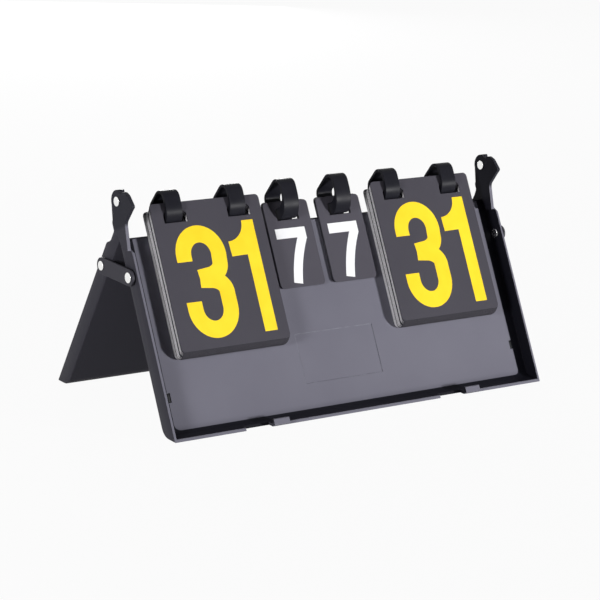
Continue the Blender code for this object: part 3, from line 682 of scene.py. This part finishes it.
def closedPiece(name, points, faces, material, body, mergeWithin=0.0):
    # a mesh with its doubles joined where asked, its faces turned outwards, riding on a body
    mesh = bpy.data.meshes.new(name)
    mesh.from_pydata(points, [], faces)
    shape = bmesh.new()
    shape.from_mesh(mesh)
    if mergeWithin:
        bmesh.ops.remove_doubles(shape, verts=shape.verts, dist=mergeWithin)
    bmesh.ops.recalc_face_normals(shape, faces=shape.faces)
    shape.to_mesh(mesh)
    shape.free()
    mesh.materials.append(material)
    piece = bpy.data.objects.new(name, mesh)
    bpy.context.scene.collection.objects.link(piece)
    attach(piece, body)
    return piece


def printNumber(name, leafNode, number, plan):
    # one mesh for both faces of a leaf: the back carries the next number down, mirrored
    style = plan["style"]
    place = trayPlace(nodePoints(leafNode))
    low, high = place.min(axis=0), place.max(axis=0)
    middle = (low[0] + high[0]) / 2
    allPoints, allFaces, offset = [], [], 0
    for shown, surface, mirror in ((number, low[2], 1.0), (number - 1, high[2], -1.0)):
        for path, layer, filled in numberBands(shown, style, plan["room"]):
            top = inkDepth["lift"] + inkDepth["thick"] + layer * inkDepth["layer"]
            if filled:
                points, faces = inkFill(path, inkDepth["lift"], top)
            else:
                points, faces = inkBand(path, style["band"], inkDepth["lift"], top)
            x = middle + mirror * (points[:, 0] + style["shift"])
            u = low[1] + style["top"] - points[:, 1]
            t = surface - mirror * points[:, 2]
            allPoints.append(worldPlace(x, u, t))
            allFaces += [[corner + offset for corner in face] for face in faces]
            offset += len(points)
    closedPiece(name, np.concatenate(allPoints), allFaces, plan["ink"], bodyOf[leafNode])


numberPlan = {
    "score": {"leaves": 16, "first": 31, "style": scoreType, "ink": yellowInk, "room": 0.094},
    "set": {"leaves": 4, "first": 7, "style": setType, "ink": whiteInk, "room": 0.040},
}
for kind, plan in numberPlan.items():
    for end in ("left", "right"):
        for index in range(plan["leaves"]):
            place = f"{end}_{index + 1:02d}"
            printNumber(f"{kind}_number_{place}", f"{kind}_leaf_{place}", plan["first"] - 2 * index, plan)
print("numerals done")


# Small black pads, pressed into the pockets near the ends of both panels

padPlan = {
    "across": 0.0027, "along": 0.0076, "thick": 0.0009, "square": 3.2,
    "fromEnd": 0.0120, "fromHinge": 0.1640, "sunk": 0.00002,
}


def makePad(name, body, side, x):
    # a low cushion: each ring round it is a squared-off oval, cos and sin raised to 2 / square,
    # and the rings shrink towards the top as the height rises
    turn = np.linspace(0, 2 * np.pi, 33)[:-1]
    power = 2 / padPlan["square"]
    ovalX = np.sign(np.cos(turn)) * np.abs(np.cos(turn)) ** power * padPlan["across"] / 2
    ovalU = np.sign(np.sin(turn)) * np.abs(np.sin(turn)) ** power * padPlan["along"] / 2
    reach = np.array([0.0, 0.55, 0.96, 1.0, 0.97, 0.85, 0.5, 0.0])[:, None]
    height = np.array([0.0, 0.0, 0.0, 0.15, 0.75, 0.94, 1.0, 1.0])[:, None] * padPlan["thick"]
    pocketFloor = trayPlan["panelFace"] + trayPlan["pocketDepth"] - padPlan["sunk"]
    points = worldPlace(x + reach * ovalX, padPlan["fromHinge"] + reach * ovalU, pocketFloor - height)
    points = points.reshape(-1, 3) * np.array([1.0, -side, 1.0])
    rings, count = len(reach), len(turn)
    start = np.arange(rings - 1)[:, None] * count
    low = (start + np.arange(count)).ravel()
    high = (start + (np.arange(count) + 1) % count).ravel()
    faces = np.stack([low, high, high + count, low + count], axis=1).tolist()
    pad = closedPiece(name, points, faces, padRubber, body, mergeWithin=1e-7)
    pad.data.polygons.foreach_set("use_smooth", np.ones(len(pad.data.polygons), bool))


for body, side in (("front", -1), ("rear", 1)):
    for end, sign in (("left", -1), ("right", 1)):
        makePad(f"pocket_pad_{body}_{end}", body, side, sign * (trayPlan["halfWidth"] - padPlan["fromEnd"]))
print("pads done")


# Floor, light and camera

floorPlan = {
    "halfWidth": 3.0, "drop": 0.0002, "colour": (0.55, 0.55, 0.56, 1), "roughness": 0.8, "whiteness": 0.95,
}


def directRays(tree):
    # 1 for what the camera or a reflection sees, 0 for what the light does
    ray = addNode(tree, "ShaderNodeLightPath")
    return calc(tree, "MAXIMUM", ray.outputs["Is Camera Ray"], ray.outputs["Is Glossy Ray"])


def paleFloor(look):
    # white to the camera, with a little of the plain shaded floor so that the shadow stays
    material, tree, shader = newMaterial("paleFloor")
    shader.inputs["Base Color"].default_value = look["colour"]
    shader.inputs["Roughness"].default_value = look["roughness"]
    glow = addNode(tree, "ShaderNodeEmission", {"Color": (1, 1, 1, 1), "Strength": 1.0})
    seen = calc(tree, "MULTIPLY", directRays(tree), look["whiteness"])
    blend = addNode(tree, "ShaderNodeMixShader", {"Fac": seen})
    tree.links.new(shader.outputs["BSDF"], blend.inputs[1])
    tree.links.new(glow.outputs["Emission"], blend.inputs[2])
    tree.links.new(blend.outputs["Shader"], tree.nodes["Material Output"].inputs["Surface"])
    return material


floorMesh = bpy.data.meshes.new("floor")
floorCorners = np.array([[-1, -1, 0], [1, -1, 0], [1, 1, 0], [-1, 1, 0]], float) * floorPlan["halfWidth"]
floorCorners[:, 2] = -floorPlan["drop"]
floorMesh.from_pydata(floorCorners, [], [[0, 1, 2, 3]])
floorMesh.materials.append(paleFloor(floorPlan))
floor = bpy.data.objects.new("floor", floorMesh)
bpy.context.scene.collection.objects.link(floor)

# Watts and metres; the fill is the strength of the white room as light
lightPlan = {
    "fill": 0.008, "aim": (0, 0, 0.08),
    "lamps": {
        "key": {"power": 58.0, "size": 0.20, "place": (1.3, -1.9, 0.25)},
        "side": {"power": 18.0, "size": 0.35, "place": (-1.62, -0.68, 0.42)},
        "back": {"power": 30.0, "size": 0.9, "place": (0.9, 2.1, 0.25)},
    },
}


def whiteRoom(fill):
    # white where it is seen, and a faint even light everywhere else
    world = bpy.data.worlds.new("studio")
    bpy.context.scene.world = world
    world.use_nodes = True
    sky = world.node_tree
    sky.nodes.clear()
    level = spread(sky, directRays(sky), fill, 1.0)
    back = addNode(sky, "ShaderNodeBackground", {"Color": (1, 1, 1, 1), "Strength": level})
    addNode(sky, "ShaderNodeOutputWorld", {"Surface": back.outputs["Background"]})


def areaLamp(name, power, size, place):
    lamp = bpy.data.lights.new(name, "AREA")
    lamp.energy = power
    lamp.size = size
    thing = bpy.data.objects.new(name, lamp)
    aim = Vector(lightPlan["aim"]) - Vector(place)
    thing.matrix_world = Matrix.Translation(place) @ aim.to_track_quat("-Z", "Y").to_matrix().to_4x4()
    bpy.context.scene.collection.objects.link(thing)


whiteRoom(lightPlan["fill"])
for name, lamp in lightPlan["lamps"].items():
    areaLamp(name, **lamp)

cameraFit = {
    "azimuth": -35.76, "elevation": 15.02, "roll": 2.92, "focalPixels": 2364.0, "distance": 2.053,
    "shiftRight": -0.0076, "shiftUp": -0.0256, "target": (0.0, 0.0, 0.100), "imageWidth": 600.0,
}


def placeCamera(fit):
    # looks along the fitted direction, rolled about it, and moved in its own plane
    az, el, roll = (math.radians(fit[key]) for key in ("azimuth", "elevation", "roll"))
    forward = Vector((-math.sin(az) * math.cos(el), math.cos(az) * math.cos(el), -math.sin(el)))
    level = Vector((math.cos(az), math.sin(az), 0))
    upright = level.cross(forward)
    right = math.cos(roll) * level + math.sin(roll) * upright
    up = -math.sin(roll) * level + math.cos(roll) * upright
    moved = right * fit["shiftRight"] + up * fit["shiftUp"]
    place = Vector(fit["target"]) - forward * fit["distance"] + moved
    lens = bpy.data.cameras.new("camera")
    lens.sensor_width = 36.0
    lens.lens = fit["focalPixels"] / fit["imageWidth"] * lens.sensor_width
    lens.clip_end = 50.0
    camera = bpy.data.objects.new("camera", lens)
    turn = Matrix((right, up, -forward)).transposed().to_4x4()
    camera.matrix_world = Matrix.Translation(place) @ turn
    bpy.context.scene.collection.objects.link(camera)
    bpy.context.scene.camera = camera


placeCamera(cameraFit)
bpy.context.scene.view_settings.view_transform = "Standard"
print("stage, light and camera ready")
